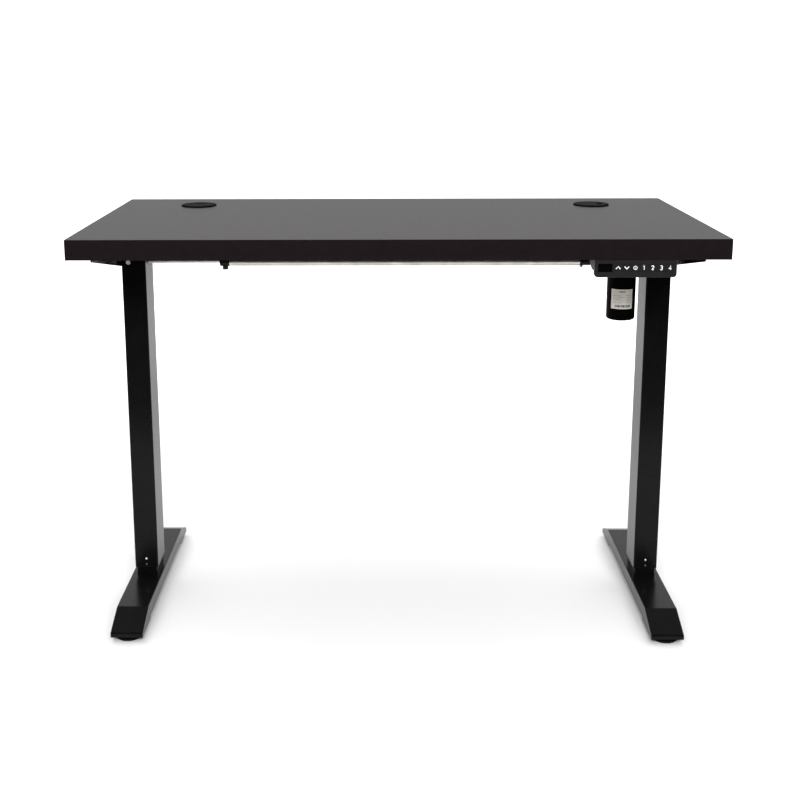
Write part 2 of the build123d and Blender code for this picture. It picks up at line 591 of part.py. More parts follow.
def make_drive_line():
    gears = [drive_gear(side * LEG_X, -1, MITER_TEETH, MITER_TEETH, MITER_R, 22.5) for side in (-1, 1)]
    gears.append(drive_gear(MOTOR_X, 1, WHEEL_TEETH, PINION_TEETH, WHEEL_R, MOTOR_X - GEAR_CASE_X - 3))
    save("drive_gears", *gears)
    save("hex_rod", hex_x(HEX_LEFT, HEX_RIGHT, HEX_AF))
    save("output_shaft", hex_x(COUPLING[0] + 8, LEG_X + 22.5, HEX_AF))
    tube = rod_x(TUBE[0], TUBE[1], 0, ROD_Z, TUBE_R) - rod_x(TUBE[0] - 1, TUBE[1] + 1, 0, ROD_Z, TUBE_R - 2)
    save("rod_tube", tube)
    bore = HEX_AF + HEX_FIT
    collar = rod_x(COLLAR[0], COLLAR[1], 0, ROD_Z, TUBE_R + 0.3)
    collar = chamfer(collar.edges().group_by(Axis.X)[0], 1.0)
    collar += rod_x(COLLAR[1], COLLAR[1] + 16, 0, ROD_Z, TUBE_R - 2 - RUNNING)
    collar -= hex_x(COLLAR[0] - 1, COLLAR[1] + 20, bore)
    collar -= rod_z(THUMB_X, 0, ROD_Z - 20, ROD_Z - 1, 3 + RUNNING)
    save("rod_collar", collar)
    coupling = rod_x(COUPLING[0], COUPLING[1], 0, ROD_Z, TUBE_R - 0.5)
    coupling += rod_x(COUPLING[0], COUPLING[0] + 7, 0, ROD_Z, TUBE_R + 0.8)
    coupling += rod_x(COUPLING[0] - 16, COUPLING[0], 0, ROD_Z, TUBE_R - 2 - RUNNING)
    coupling -= hex_x(COUPLING[0], COUPLING[1] + 1, bore)
    coupling -= rod_z(COUPLING[0] + 4, 0, ROD_Z - 20, ROD_Z - 6, 2 + RUNNING)
    save("rod_coupling", coupling)
    hex_under = ROD_Z - HEX_AF / 2 - 0.1
    thumb_head = rod_z(THUMB_X, 0, ROD_Z - 17, ROD_Z - TUBE_R - 0.4, 6)
    flutes = [Rot(0, 0, 360 * i / 12) * Pos(6.4, 0, 0) * Cylinder(0.9, 60) for i in range(12)]
    thumb_head -= [Pos(THUMB_X, 0, ROD_Z - 14) * flute for flute in flutes]
    thumb = thumb_head + rod_z(THUMB_X, 0, ROD_Z - TUBE_R - 0.4, hex_under, 3)
    clamp_x = COUPLING[0] + 4
    clamp = rod_z(clamp_x, 0, ROD_Z - 14, ROD_Z - 6.1, 2)
    save("rod_clamp_screws", thumb, clamp)


# ---- frame bolts ----
def make_frame_bolts():
    bolt = pan_screw(FRAME_BOLT_R, 10, 4.5, 2.5)
    web_bolt = pan_screw(FRAME_BOLT_R, 12, 4.5, 2.5)
    beam_bolt = pan_screw(FRAME_BOLT_R, 8, 4.5, 2.5)
    long_bolt = pan_screw(FRAME_BOLT_R, 15, 4.5, 2.5)
    half = COLUMN_W / 2
    bolts = []
    for side in (-1, 1):
        x = side * LEG_X
        web_x = x + side * (half + BRACKET_WALL)
        for s in (-1, 1):
            bolts.append(Pos(x + side * FACE_BOLT_X, s * COLUMN_D / 2, FACE_BOLT_Z) * Rot(s * 90, 0, 0) * bolt)
            bolts.append(Pos(web_x, s * SIDE_BOLT_Y, SIDE_BOLT_Z) * Rot(0, -side * 90, 0) * web_bolt)
            if side < 0:
                bolts.append(Pos(x + half, s * SIDE_BOLT_Y, SIDE_BOLT_Z) * Rot(0, -90, 0) * bolt)
            else:
                for z in (SIDE_BOLT_Z, LOW_SIDE_BOLT_Z):
                    bolts.append(Pos(GEAR_CASE_END, s * SIDE_BOLT_Y, z) * Rot(0, 90, 0) * long_bolt)
            for z in BEAM_BOLT_Z:
                bolts.append(Pos(web_x, s * BEAM_Y, z) * Rot(0, -side * 90, 0) * beam_bolt)
    save("frame_bolts", *bolts)


def make_board_screws():
    under = BOARD_Z - BRACKET_WALL
    screws = [Pos(x, y, under) * pan_screw(PILOT_R, 27, 4.5, 2.5) for x, y in board_screw_places()]
    save("board_screws", *screws)
    places = box_screw_places() + handset_screw_places()
    small = [Pos(x, y, BOARD_Z - 2) * pan_screw(PILOT_R, 12, 4.0, 2.0) for x, y in places]
    save("small_screws", *small)


# ---- control box ----
BOX_WALL = 2.0
SOCKETS = (("mains", -22.0, 28.0, 20.0), ("motor", 8.0, 16.0, 12.0), ("handset", 30.0, 14.0, 10.0))
SOCKET_DEPTH = 14.0
SOCKET_WALL = 2.0


def make_control_box():
    x0 = BOX_X - BOX_W / 2
    x1 = BOX_X + BOX_W / 2
    y0 = BOX_Y - BOX_D / 2
    y1 = BOX_Y + BOX_D / 2
    z0 = BOARD_Z - BOX_H
    socket_z = BOARD_Z - 20
    base = block(x0, x1, y0, y1, z0 + BOX_WALL, BOARD_Z)
    base = fillet(base.edges().filter_by(Axis.Z), 5.0)
    base -= block(x0 + BOX_WALL, x1 - BOX_WALL, y0 + BOX_WALL, y1 - BOX_WALL, z0, BOARD_Z - BOX_WALL)
    ears = block(x0 - BOX_EAR, x1 + BOX_EAR, BOX_Y - 35, BOX_Y + 35, BOARD_Z - 2, BOARD_Z)
    ears = fillet(ears.edges().filter_by(Axis.Z), 5.0)
    base += ears
    for x, y in box_screw_places():
        base -= rod_z(x, y, BOARD_Z - 3, BOARD_Z + 1, PILOT_R + 0.2)
    sockets = []
    for _, dy, w, h in SOCKETS:
        y = BOX_Y + dy
        base -= block(x0 - 1, x0 + BOX_WALL + 1, y - w / 2, y + w / 2, socket_z - h / 2, socket_z + h / 2)
        cup = block(x0, x0 + SOCKET_DEPTH, y - w / 2, y + w / 2, socket_z - h / 2, socket_z + h / 2)
        rim_y = w / 2 - SOCKET_WALL
        rim_z = h / 2 - SOCKET_WALL
        floor_x = x0 + SOCKET_DEPTH - SOCKET_WALL
        cup -= block(x0 - 1, floor_x, y - rim_y, y + rim_y, socket_z - rim_z, socket_z + rim_z)
        sockets.append(cup)
    save("control_box_base", base)
    save("control_box_sockets", *sockets)
    lid = block(x0, x1, y0, y1, z0, z0 + BOX_WALL)
    lid = fillet(lid.edges().filter_by(Axis.Z), 5.0)
    save("control_box_lid", lid)
    board = block(x0 + 20, x1 - 6, y0 + 5, y1 - 5, z0 + 9, z0 + 10.6)
    for i in range(3):
        cap_x = x0 + 110 + 32 * i
        board += rod_z(cap_x, BOX_Y + 20, z0 + 10.6, z0 + 28, 8)
        board += block(cap_x - 9, cap_x + 9, BOX_Y - 30, BOX_Y - 12, z0 + 10.6, z0 + 24)
    left = HANDSET_X - HANDSET_W / 2
    right = left + HANDSET_W
    board_y = HANDSET_FRONT + 7
    key_board = block(left + 8, right - 8, board_y, board_y + 1.6, HANDSET_Z + 5, BOARD_Z - 4)
    save("circuit_boards", board, key_board)


# ---- handset ----
WINDOW = (367.0, 393.5, 762.2, 777.6)
SCREW_WELL_R = 5.0
HANDSET_WALL = 3.0
KEY_GAP = 0.3


def handset_shell(left, right):
    """Front panel with rounded lower corners and a shallower wedge behind it, hollow towards the board."""
    panel = block(left, right, HANDSET_FRONT, HANDSET_PANEL_BACK, HANDSET_Z, BOARD_Z)
    panel = fillet(panel.edges().filter_by(Axis.Y).group_by(Axis.Z)[0], 6.5)
    front = [e for e in panel.edges() if abs(e.center().Y - HANDSET_FRONT) < 0.01]
    panel = fillet([e for e in front if e.center().Z < BOARD_Z - 1], 1.2)
    wedge = [
        (HANDSET_PANEL_BACK - 1, BOARD_Z),
        (HANDSET_PANEL_BACK - 1, HANDSET_BODY_Z),
        (HANDSET_BACK - 24, HANDSET_BODY_Z),
        (HANDSET_BACK, HANDSET_BODY_Z + 9),
        (HANDSET_BACK, BOARD_Z),
    ]
    body = panel + side_profile(wedge, (left + right) / 2, right - left)
    x0 = left + HANDSET_WALL
    x1 = right - HANDSET_WALL
    z1 = BOARD_Z + 1
    body -= block(x0, x1, HANDSET_FRONT + HANDSET_WALL, HANDSET_PANEL_BACK - 2, HANDSET_Z + HANDSET_WALL, z1)
    return body - block(x0, x1, HANDSET_PANEL_BACK - 3, HANDSET_BACK - 24, HANDSET_BODY_Z + HANDSET_WALL, z1)


def make_handset():
    left = HANDSET_X - HANDSET_W / 2
    right = HANDSET_X + HANDSET_W / 2
    body = handset_shell(left, right)
    x0, x1, z0, z1 = WINDOW
    body -= block(x0, x1, HANDSET_FRONT - 1, HANDSET_FRONT + 4, z0, z1)
    for x, y in handset_screw_places():
        body -= rod_z(x, y, BOARD_Z - 3, BOARD_Z + 1, PILOT_R + 0.2)
        body -= rod_z(x, y, HANDSET_Z, BOARD_Z - 2, SCREW_WELL_R)
    for i in range(len(KEY_NAMES)):
        body -= key_block(i, KEY_W + 2 * KEY_GAP, KEY_H + 2 * KEY_GAP, HANDSET_FRONT - 1, HANDSET_FRONT + 4)
    save("handset_housing", body)
    save("handset_window", block(x0, x1, HANDSET_FRONT + 0.2, HANDSET_FRONT + 3, z0, z1))
    for i, name in enumerate(KEY_NAMES):
        face = key_block(i, KEY_W, KEY_H, HANDSET_FRONT - 0.3, HANDSET_FRONT + 6)
        face = fillet(face.edges().filter_by(Axis.Y), 2.0)
        face += key_block(i, KEY_W + 1.4, KEY_H + 1.4, HANDSET_FRONT + 3.3, HANDSET_FRONT + 6)
        save(f"key_{name}", face)


def key_block(index, width, height, y0, y1):
    """Box of one key's outline between two depths."""
    x = KEY_X + index * KEY_PITCH
    return block(x - width / 2, x + width / 2, y0, y1, KEY_Z - height / 2, KEY_Z + height / 2)


make_board()
make_grommets()
make_base()
make_levelling_feet()
make_columns()
make_brackets()
make_crossbeams()
make_gearboxes()
make_motor()
make_screws()
make_drive_line()
make_frame_bolts()
make_board_screws()
make_control_box()
make_handset()
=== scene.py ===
"""Looks for the height adjustable desk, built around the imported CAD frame. Metres, the frame's own axes."""

import json
from math import cos, pi, radians, sin

import bmesh
import bpy
from mathutils import Matrix, Vector


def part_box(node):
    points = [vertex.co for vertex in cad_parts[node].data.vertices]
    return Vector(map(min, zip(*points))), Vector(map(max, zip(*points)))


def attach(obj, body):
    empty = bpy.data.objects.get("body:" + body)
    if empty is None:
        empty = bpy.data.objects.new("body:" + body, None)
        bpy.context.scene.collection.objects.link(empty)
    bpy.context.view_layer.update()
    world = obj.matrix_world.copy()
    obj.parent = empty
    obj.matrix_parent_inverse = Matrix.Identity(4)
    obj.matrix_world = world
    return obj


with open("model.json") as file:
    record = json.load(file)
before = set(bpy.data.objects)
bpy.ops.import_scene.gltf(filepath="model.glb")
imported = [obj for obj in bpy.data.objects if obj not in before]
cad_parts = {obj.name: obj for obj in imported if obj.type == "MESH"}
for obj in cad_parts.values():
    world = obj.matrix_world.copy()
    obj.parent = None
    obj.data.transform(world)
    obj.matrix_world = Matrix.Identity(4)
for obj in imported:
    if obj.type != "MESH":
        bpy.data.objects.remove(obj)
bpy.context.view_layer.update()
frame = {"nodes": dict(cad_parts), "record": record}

SCENE = bpy.context.scene
MM = 0.001


# ---- camera, light and floor ----
CAMERA_AT = (-0.02433, -2.45830, 1.16277)
CAMERA_YAW = 0.017537
CAMERA_PITCH = 0.208603
CAMERA_ROLL = 0.004373
CAMERA_LENS = 53.80
CAMERA_SHIFT = (0.0461, -0.1224)
SENSOR_WIDTH = 36.0
FLOOR_HALF = 12.0
FLOOR_COLOR = 0.74
FLOOR_GLOW_NEAR = 0.0
FLOOR_GLOW_FAR = 1.0
FLOOR_GLOW_UNSEEN = 0.3   # share of the glow that lights the object
FLOOR_FADE = (0.75, 2.8)  # distances from the origin between which the glow rises
CARD_HALF_X = 7.0
CARD_Y = (-9.0, -1.15)
CARD_Z = 0.004
CARD_COLOR = 0.01
CEILING_AT = (0, 1.0, 3.6)
CEILING_AIM = (0, 1.0, 0)
CEILING_SIZE = (7.0, 5.0)
CEILING_WATTS = 250.0
FRONT_AT = (0, -3.4, 2.5)
FRONT_AIM = (0, 0, 0.6)
FRONT_SIZE = (3.0, 1.2)
FRONT_WATTS = 200.0
WORLD_DARK = 0.02             # world strength in front of the desk
WORLD_TURN_Y = (-0.32, 0.24)  # a ray's Y over which the world rises to full
REAR_GLOW = 1.15              # strength low behind the desk
UPPER_GLOW = 0.45             # strength higher up behind it
WORLD_TURN_Z = (0.42, 0.72)   # a ray's Z over which the rear glow falls to the upper one
BACKDROP = 1.03               # strength that the camera sees


def make_camera():
    camera = bpy.data.objects.new("camera", bpy.data.cameras.new("camera"))
    SCENE.collection.objects.link(camera)
    camera.data.lens = CAMERA_LENS
    camera.data.sensor_width = SENSOR_WIDTH
    camera.data.shift_x, camera.data.shift_y = CAMERA_SHIFT
    camera.data.dof.use_dof = False
    turn = Matrix.Rotation(CAMERA_YAW, 4, "Z") @ Matrix.Rotation(pi / 2 - CAMERA_PITCH, 4, "X")
    turn = turn @ Matrix.Rotation(-CAMERA_ROLL, 4, "Z")
    camera.matrix_world = Matrix.Translation(CAMERA_AT) @ turn
    SCENE.camera = camera


def glow_ramp(tree, source, start, end, low, high):
    """Smooth change from low to high while the source goes from start to end."""
    span = tree.nodes.new("ShaderNodeMapRange")
    span.interpolation_type = "SMOOTHSTEP"
    span.inputs["From Min"].default_value = start
    span.inputs["From Max"].default_value = end
    span.inputs["To Min"].default_value = low
    span.inputs["To Max"].default_value = high
    tree.links.new(source, span.inputs["Value"])
    return span.outputs["Result"]


def make_world():
    """White studio. Its light on the object is brightest low behind the desk and dim in front and above."""
    world = bpy.data.worlds.new("studio")
    SCENE.world = world
    world.use_nodes = True
    tree = world.node_tree
    nodes = tree.nodes
    coords = nodes.new("ShaderNodeTexCoord")
    split = nodes.new("ShaderNodeSeparateXYZ")
    tree.links.new(coords.outputs["Generated"], split.inputs[0])
    behind = glow_ramp(tree, split.outputs["Y"], *WORLD_TURN_Y, WORLD_DARK, 1.0)
    low = glow_ramp(tree, split.outputs["Z"], *WORLD_TURN_Z, REAR_GLOW, UPPER_GLOW)
    product = nodes.new("ShaderNodeMath")
    product.operation = "MULTIPLY"
    tree.links.new(behind, product.inputs[0])
    tree.links.new(low, product.inputs[1])
    glow = nodes["Background"]
    tree.links.new(product.outputs[0], glow.inputs["Strength"])
    glow.inputs["Color"].default_value = (1, 1, 1, 1)
    backdrop = nodes.new("ShaderNodeBackground")
    backdrop.inputs["Color"].default_value = (1, 1, 1, 1)
    backdrop.inputs["Strength"].default_value = BACKDROP
    path = nodes.new("ShaderNodeLightPath")
    mix = nodes.new("ShaderNodeMixShader")
    tree.links.new(path.outputs["Is Camera Ray"], mix.inputs[0])
    tree.links.new(glow.outputs[0], mix.inputs[1])
    tree.links.new(backdrop.outputs[0], mix.inputs[2])
    tree.links.new(mix.outputs[0], nodes["World Output"].inputs["Surface"])
    SCENE.view_settings.view_transform = "Standard"


def area_light(name, at, aim, size, watts):
    """Rectangular light, left out of the picture and of the object's reflections."""
    data = bpy.data.lights.new(name, "AREA")
    data.shape = "RECTANGLE"
    data.size, data.size_y = size
    data.energy = watts
    light = bpy.data.objects.new(name, data)
    SCENE.collection.objects.link(light)
    facing = (Vector(aim) - Vector(at)).to_track_quat("-Z", "Y").to_matrix().to_4x4()
    light.matrix_world = Matrix.Translation(at) @ facing
    light.visible_camera = False
    light.visible_glossy = False


def stage_plane(name, x0, x1, y0, y1, z, color, rough):
    mesh = bpy.data.meshes.new(name)
    mesh.from_pydata([(x0, y0, z), (x1, y0, z), (x1, y1, z), (x0, y1, z)], [], [(0, 1, 2, 3)])
    plane = bpy.data.objects.new(name, mesh)
    SCENE.collection.objects.link(plane)
    material = bpy.data.materials.new(name)
    material.use_nodes = True
    shader = material.node_tree.nodes["Principled BSDF"]
    shader.inputs["Base Color"].default_value = (color, color, color, 1)
    shader.inputs["Roughness"].default_value = rough
    mesh.materials.append(material)
    return plane


def make_floor():
    """White floor that glows more with distance, and an unseen dark card for the front to reflect."""
    floor = stage_plane("floor", -FLOOR_HALF, FLOOR_HALF, -FLOOR_HALF, FLOOR_HALF, 0, FLOOR_COLOR, 0.7)
    tree = floor.data.materials[0].node_tree
    shader = tree.nodes["Principled BSDF"]
    coords = tree.nodes.new("ShaderNodeTexCoord")
    distance = tree.nodes.new("ShaderNodeVectorMath")
    distance.operation = "LENGTH"
    tree.links.new(coords.outputs["Object"], distance.inputs[0])
    glow = glow_ramp(tree, distance.outputs["Value"], *FLOOR_FADE, FLOOR_GLOW_NEAR, FLOOR_GLOW_FAR)
    path = tree.nodes.new("ShaderNodeLightPath")
    seen = glow_ramp(tree, path.outputs["Is Camera Ray"], 0.0, 1.0, FLOOR_GLOW_UNSEEN, 1.0)
    product = tree.nodes.new("ShaderNodeMath")
    product.operation = "MULTIPLY"
    tree.links.new(glow, product.inputs[0])
    tree.links.new(seen, product.inputs[1])
    tree.links.new(product.outputs[0], shader.inputs["Emission Strength"])
    shader.inputs["Emission Color"].default_value = (1, 1, 1, 1)
    card = stage_plane("dark_card", -CARD_HALF_X, CARD_HALF_X, *CARD_Y, CARD_Z, CARD_COLOR, 1.0)
    card.visible_camera = False
    card.visible_shadow = False


# ---- materials ----
class Paint:
    """One procedural material. Scales are in features per metre, bump depths in metres."""

    def __init__(self, name, color, rough, metal=0.0, specular=0.5):
        self.material = bpy.data.materials.new(name)
        self.material.use_nodes = True
        self.tree = self.material.node_tree
        self.shader = self.tree.nodes["Principled BSDF"]
        self.color = color
        self.shader.inputs["Base Color"].default_value = (*color, 1)
        self.shader.inputs["Roughness"].default_value = rough
        self.shader.inputs["Metallic"].default_value = metal
        self.shader.inputs["Specular IOR Level"].default_value = specular
        self.coords = self.tree.nodes.new("ShaderNodeTexCoord").outputs["Object"]

    def texture(self, kind, scale, stretch=(1, 1, 1)):
        mapping = self.tree.nodes.new("ShaderNodeMapping")
        mapping.inputs["Scale"].default_value = stretch
        self.tree.links.new(self.coords, mapping.inputs["Vector"])
        texture = self.tree.nodes.new(kind)
        texture.inputs["Scale"].default_value = scale
        self.tree.links.new(mapping.outputs["Vector"], texture.inputs["Vector"])
        return texture

    def noise(self, scale, detail=3.0, stretch=(1, 1, 1)):
        noise = self.texture("ShaderNodeTexNoise", scale, stretch)
        noise.inputs["Detail"].default_value = detail
        return noise.outputs["Fac"]

    def cells(self, scale):
        return self.texture("ShaderNodeTexVoronoi", scale).outputs["Distance"]

    def tint(self, source, low, high, start=0.3, end=0.7):
        """Base colour goes from low to high times the paint's own while the source goes from start to end."""
        ramp = self.tree.nodes.new("ShaderNodeValToRGB")
        ramp.color_ramp.elements[0].position = start
        ramp.color_ramp.elements[1].position = end
        ramp.color_ramp.elements[0].color = (*[c * low for c in self.color], 1)
        ramp.color_ramp.elements[1].color = (*[c * high for c in self.color], 1)
        self.tree.links.new(source, ramp.inputs["Fac"])
        self.tree.links.new(ramp.outputs["Color"], self.shader.inputs["Base Color"])

    def rough(self, source, low, high):
        """Roughness goes from low to high across the middle of a noise's range."""
        span = self.tree.nodes.new("ShaderNodeMapRange")
        span.inputs["From Min"].default_value = 0.3
        span.inputs["From Max"].default_value = 0.7
        span.inputs["To Min"].default_value = low
        span.inputs["To Max"].default_value = high
        self.tree.links.new(source, span.inputs["Value"])
        self.tree.links.new(span.outputs["Result"], self.shader.inputs["Roughness"])

    def bump(self, source, depth, strength):
        bump = self.tree.nodes.new("ShaderNodeBump")
        bump.inputs["Distance"].default_value = depth
        bump.inputs["Strength"].default_value = strength
        self.tree.links.new(source, bump.inputs["Height"])
        self.tree.links.new(bump.outputs["Normal"], self.shader.inputs["Normal"])


def laminate(name, color, rough, specular):
    """Board facing with a fine even texture."""
    paint = Paint(name, color, rough, 0.0, specular)
    paint.tint(paint.noise(90.0, 5.0), 0.9, 1.1)
    paint.rough(paint.noise(420.0, 4.0), rough - 0.03, rough + 0.03)
    paint.bump(paint.noise(1400.0, 2.0), 0.00005, 0.3)
    return paint.material


def powder_coat(name, color, rough, specular):
    """Satin paint on steel."""
    paint = Paint(name, color, rough, 0.0, specular)
    paint.tint(paint.noise(35.0, 4.0), 0.85, 1.15)
    paint.rough(paint.noise(400.0, 4.0), rough - 0.03, rough + 0.03)
    paint.bump(paint.noise(1500.0, 2.0), 0.00002, 0.25)
    return paint.material


def moulded(name, color, rough, specular=0.25, grain=2200.0):
    """Plastic with a pebbled mould grain."""
    paint = Paint(name, color, rough, 0.0, specular)
    paint.tint(paint.noise(50.0, 3.0), 0.9, 1.1)
    paint.rough(paint.noise(300.0, 3.0), rough - 0.06, rough + 0.06)
    paint.bump(paint.cells(grain), 0.00004, 0.4)
    return paint.material


def metal(name, color, rough, stretch=(1, 1, 1), metallic=1.0):
    """Worked metal. A stretch below 1 draws its lines out along that axis."""
    paint = Paint(name, color, rough, metallic)
    paint.tint(paint.noise(40.0, 5.0), 0.82, 1.1)
    lines = paint.noise(900.0, 3.0, stretch)
    paint.rough(lines, rough - 0.08, rough + 0.1)
    paint.bump(lines, 0.00003, 0.4)
    return paint.material


def cast(name, color, rough):
    """Grainy cast or sintered metal."""
    paint = Paint(name, color, rough, 1.0)
    paint.tint(paint.noise(120.0, 5.0), 0.8, 1.15)
    paint.rough(paint.noise(400.0, 3.0), rough - 0.08, rough + 0.1)
    paint.bump(paint.noise(1200.0, 3.0), 0.0001, 0.5)
    return paint.material


def circuit(name, color):
    """Board lacquer with darker and lighter patches."""
    paint = Paint(name, color, 0.35)
    paint.tint(paint.cells(260.0), 0.7, 1.5, 0.1, 0.4)
    paint.bump(paint.cells(260.0), 0.00005, 0.5)
    return paint.material


def printed(name, color, rough, specular=0.2):
    """Ink or paper: even, with a faint fibre mottle."""
    paint = Paint(name, color, rough, 0.0, specular)
    paint.tint(paint.noise(700.0, 3.0), 0.95, 1.05)
    paint.rough(paint.noise(900.0, 2.0), rough - 0.05, rough + 0.05)
    paint.bump(paint.noise(2500.0, 2.0), 0.00002, 0.3)
    return paint.material


ALONG_X = (0.02, 1, 1)
SCREW_SPLIT_Z = (0.074, 0.077)  # between the lower and the upper screws' heads


def glide_screw_zinc():
    """Zinc, bright on the upper screws' heads and darker on the lower ones, set by height."""
    paint = Paint("screw_zinc", (0.95, 0.93, 0.90), 0.5, 0.3)
    split = paint.tree.nodes.new("ShaderNodeSeparateXYZ")
    paint.tree.links.new(paint.coords, split.inputs[0])
    height = glow_ramp(paint.tree, split.outputs["Z"], *SCREW_SPLIT_Z, 0.0, 1.0)
    paint.tint(height, 0.12, 1.0, 0.0, 1.0)
    paint.rough(paint.noise(900.0), 0.45, 0.6)
    return paint.material


LOOKS = {
    "laminate_black": laminate("laminate_black", (0.021, 0.0190, 0.0190), 0.44, 0.095),
    "edge_black": laminate("edge_black", (0.0092, 0.0062, 0.0074), 0.48, 0.10),
    "black_steel": powder_coat("black_steel", (0.0038, 0.0035, 0.0036), 0.22, 0.12),
    "zinc_steel": metal("zinc_steel", (0.66, 0.62, 0.585), 0.34, ALONG_X),
    "dark_steel": metal("dark_steel", (0.10, 0.10, 0.105), 0.38),
    "gear_steel": metal("gear_steel", (0.55, 0.55, 0.56), 0.28),
    "die_cast": cast("die_cast", (0.42, 0.42, 0.43), 0.5),
    "bearing_brass": metal("bearing_brass", (0.70, 0.52, 0.26), 0.35),
    "acetal_white": moulded("acetal_white", (0.72, 0.72, 0.68), 0.4),
    "acetal_black": moulded("acetal_black", (0.004, 0.004, 0.004), 0.4, 0.15),
    "moulded_black": moulded("moulded_black", (0.0145, 0.0135, 0.0138), 0.42, 0.20),
    "pad_black": moulded("pad_black", (0.005, 0.005, 0.005), 0.62, 0.15, 900.0),
    "window_black": moulded("window_black", (0.001, 0.0012, 0.0015), 0.10, 0.35, 60.0),
    "board_green": circuit("board_green", (0.02, 0.11, 0.05)),
    "magnet_grey": cast("magnet_grey", (0.12, 0.12, 0.13), 0.6),
}
NODE_LOOKS = {
    "hex_rod": metal("bright_zinc", (0.96, 0.94, 0.90), 0.55, ALONG_X, metallic=0.5),
    "motor_can": powder_coat("motor_paint", (0.0015, 0.0013, 0.0012), 0.45, 0.02),
    "grommet_liners": moulded("grommet_plastic", (0.0018, 0.0017, 0.0017), 0.62, 0.01),
    "grommet_cap_left": moulded("grommet_cap_left", (0.0095, 0.0088, 0.0088), 0.66, 0.01),
    "grommet_cap_right": moulded("grommet_cap_right", (0.0095, 0.0088, 0.0088), 0.66, 0.01),
    "glide_screws": glide_screw_zinc(),
    "frame_bolts": metal("bolt_zinc", (0.93, 0.91, 0.88), 0.5, metallic=0.4),
}
INK_WHITE = printed("ink_white", (0.95, 0.94, 0.92), 0.5)
PAPER = printed("label_paper", (0.90, 0.86, 0.78), 0.55)
INK_GREY = printed("label_ink", (0.07, 0.066, 0.062), 0.6)
INK_PALE = printed("label_ink_pale", (0.48, 0.46, 0.42), 0.6)


def dress_nodes():
    """One material on every CAD node: its own look where it has one, else its slot's."""
    slots = {part["node"]: part["material_slot"] for part in frame["record"]["subparts"]}
    for name, node in frame["nodes"].items():
        node.data.materials.clear()
        node.data.materials.append(NODE_LOOKS.get(name) or LOOKS[slots[name]])


# ---- small pieces ----
def add_piece(name, mesh, paint, body, place=None):
    """Put a mesh in the scene as a piece that rides on a body."""
    piece = bpy.data.objects.new(name, mesh)
    SCENE.collection.objects.link(piece)
    mesh.materials.append(paint)
    if place is not None:
        piece.matrix_world = place
    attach(piece, body)


def line_mesh(name, strokes, width, flat):
    """Round-ended strokes in the XZ plane, flattened along Y. Points are in millimetres."""
    curve = bpy.data.curves.new(name, "CURVE")
    curve.dimensions = "3D"
    curve.bevel_depth = width * MM / 2
    curve.bevel_resolution = 3
    curve.use_fill_caps = True
    for points, closed in strokes:
        spline = curve.splines.new("POLY")
        spline.points.add(len(points) - 1)
        spline.use_cyclic_u = closed
        for point, (x, z) in zip(spline.points, points):
            point.co = (x * MM, 0, z * MM, 1)
    holder = bpy.data.objects.new(name, curve)
    mesh = bpy.data.meshes.new_from_object(holder)
    bpy.data.objects.remove(holder)
    bpy.data.curves.remove(curve)
    for vertex in mesh.vertices:
        vertex.co.y *= flat
    mesh.name = name
    for polygon in mesh.polygons:
        polygon.use_smooth = True
    return mesh


def arc(cx, cz, r, start, end, steps=12):
    """Points of an arc in degrees, in the XZ plane."""
    angles = [radians(start + (end - start) * i / steps) for i in range(steps + 1)]
    return [(cx + r * cos(a), cz + r * sin(a)) for a in angles]


# The key symbols' strokes, in millimetres about the key's middle.
GLYPH_WIDTH = 1.35
CHEVRON_WIDTH = 1.75
RING_WIDTH = 1.1
GLYPH_FLAT = 0.16  # depth over width of a stroke's section
GLYPHS = {
    "up": ([([(-4.2, -2.3), (0, 2.3), (4.2, -2.3)], False)], CHEVRON_WIDTH),
    "down": ([([(-4.2, 2.3), (0, -2.3), (4.2, 2.3)], False)], CHEVRON_WIDTH),
    "store": ([(arc(0, 0, 3.2, 0, 345, 24), True), (arc(0, 0, 0.35, 0, 315, 8), True)], RING_WIDTH),
    "one": ([([(-1.5, 2.4), (0.4, 3.7), (0.4, -3.7)], False)], GLYPH_WIDTH),
    "two": ([(arc(0, 1.7, 2.1, 165, -35, 10) + [(-2.2, -3.5), (2.4, -3.5)], False)], GLYPH_WIDTH),
    "three": ([(arc(0, 1.85, 1.9, 150, -90, 10) + arc(0, -1.85, 2.05, 90, -150, 10), False)], GLYPH_WIDTH),
    "four": ([([(1.0, -3.8), (1.0, 3.7), (-2.6, -1.6), (2.6, -1.6)], False)], GLYPH_WIDTH),
}


def make_glyphs():
    for name, (strokes, width) in GLYPHS.items():
        low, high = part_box(f"key_{name}")
        mesh = line_mesh(f"symbol_{name}", strokes, width, GLYPH_FLAT)
        place = Matrix.Translation(((low.x + high.x) / 2, low.y, (low.z + high.z) / 2))
        add_piece(f"symbol_{name}", mesh, INK_WHITE, f"key_{name}", place)


def curved_patch(name, centre, r, thick, angles, z0, z1, steps):
    """Thin closed shell on a vertical cylinder. Angles in degrees from -Y towards +X."""
    shell = bmesh.new()
    rings = []
    for i in range(steps + 1):
        a = radians(angles[0] + (angles[1] - angles[0]) * i / steps)
        column = []
        for radius in (r + thick, r - thick / 4):
            for z in (z0, z1):
                corner = (centre.x + radius * sin(a), centre.y - radius * cos(a), z)
                column.append(shell.verts.new(corner))
        rings.append(column)
    for a, b in zip(rings, rings[1:]):
        for i, j in ((0, 1), (1, 3), (3, 2), (2, 0)):
            shell.faces.new((a[i], b[i], b[j], a[j]))
    shell.faces.new([rings[0][i] for i in (0, 1, 3, 2)])
    shell.faces.new([rings[-1][i] for i in (0, 2, 3, 1)])
    bmesh.ops.recalc_face_normals(shell, faces=shell.faces)
    mesh = bpy.data.meshes.new(name)
    shell.to_mesh(mesh)
    shell.free()
    return mesh


